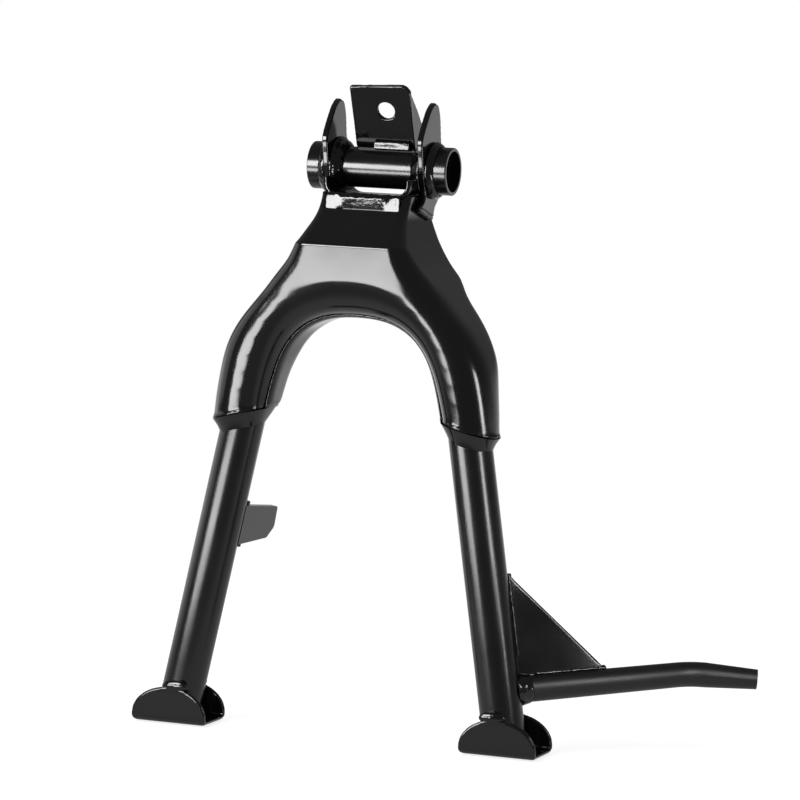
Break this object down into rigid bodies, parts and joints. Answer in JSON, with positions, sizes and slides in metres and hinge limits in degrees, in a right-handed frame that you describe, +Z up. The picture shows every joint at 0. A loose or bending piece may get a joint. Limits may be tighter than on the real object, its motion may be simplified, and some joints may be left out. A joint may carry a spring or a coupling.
{
  "type": "motorcycle centre stand",
  "caption": "Welded motorcycle centre stand in gloss black: pressed steel arch on tube legs, pivot tube with ear plates, stop bracket, kick lever with gusset and folded feet",
  "frame": {"origin": "middle of the pivot bore, on the plane halfway between the ears", "axes": "X along the pivot bore towards the side with the kick lever, Y to the rear of the machine, Z up with the feet flat on the ground"},
  "size_m": [0.3578, 0.1135, 0.3848],
  "materials": {
    "black_enamel": "gloss",
    "weld_bead": "gloss, lumpy"
  },
  "bodies": {
    "root": {"arch_front_shell": "black_enamel", "arch_rear_shell": "black_enamel", "arch_seam_weld_left": "weld_bead", "arch_seam_weld_right": "weld_bead", "boss_inner_weld_left": "weld_bead", "boss_inner_weld_right": "weld_bead", "boss_outer_weld_left": "weld_bead", "boss_outer_weld_right": "weld_bead", "bracket_weld": "weld_bead", "cross_tube": "black_enamel", "ear_left": "black_enamel", "ear_right": "black_enamel", "ear_weld_left": "weld_bead", "ear_weld_right": "weld_bead", "foot_front_weld_left": "weld_bead", "foot_front_weld_right": "weld_bead", "foot_left": "black_enamel", "foot_rear_weld_left": "weld_bead", "foot_rear_weld_right": "weld_bead", "foot_right": "black_enamel", "gusset_leg_weld": "weld_bead", "gusset_lever_weld": "weld_bead", "kick_lever": "black_enamel", "leg_tube_left": "black_enamel", "leg_tube_right": "black_enamel", "leg_weld_left": "weld_bead", "leg_weld_right": "weld_bead", "lever_gusset": "black_enamel", "lever_weld": "weld_bead", "lug_weld": "weld_bead", "pivot_boss_left": "black_enamel", "pivot_boss_right": "black_enamel", "pivot_saddle": "black_enamel", "saddle_weld": "weld_bead", "spring_lug": "black_enamel", "stop_bracket": "black_enamel"}
  },
  "joints": []
}
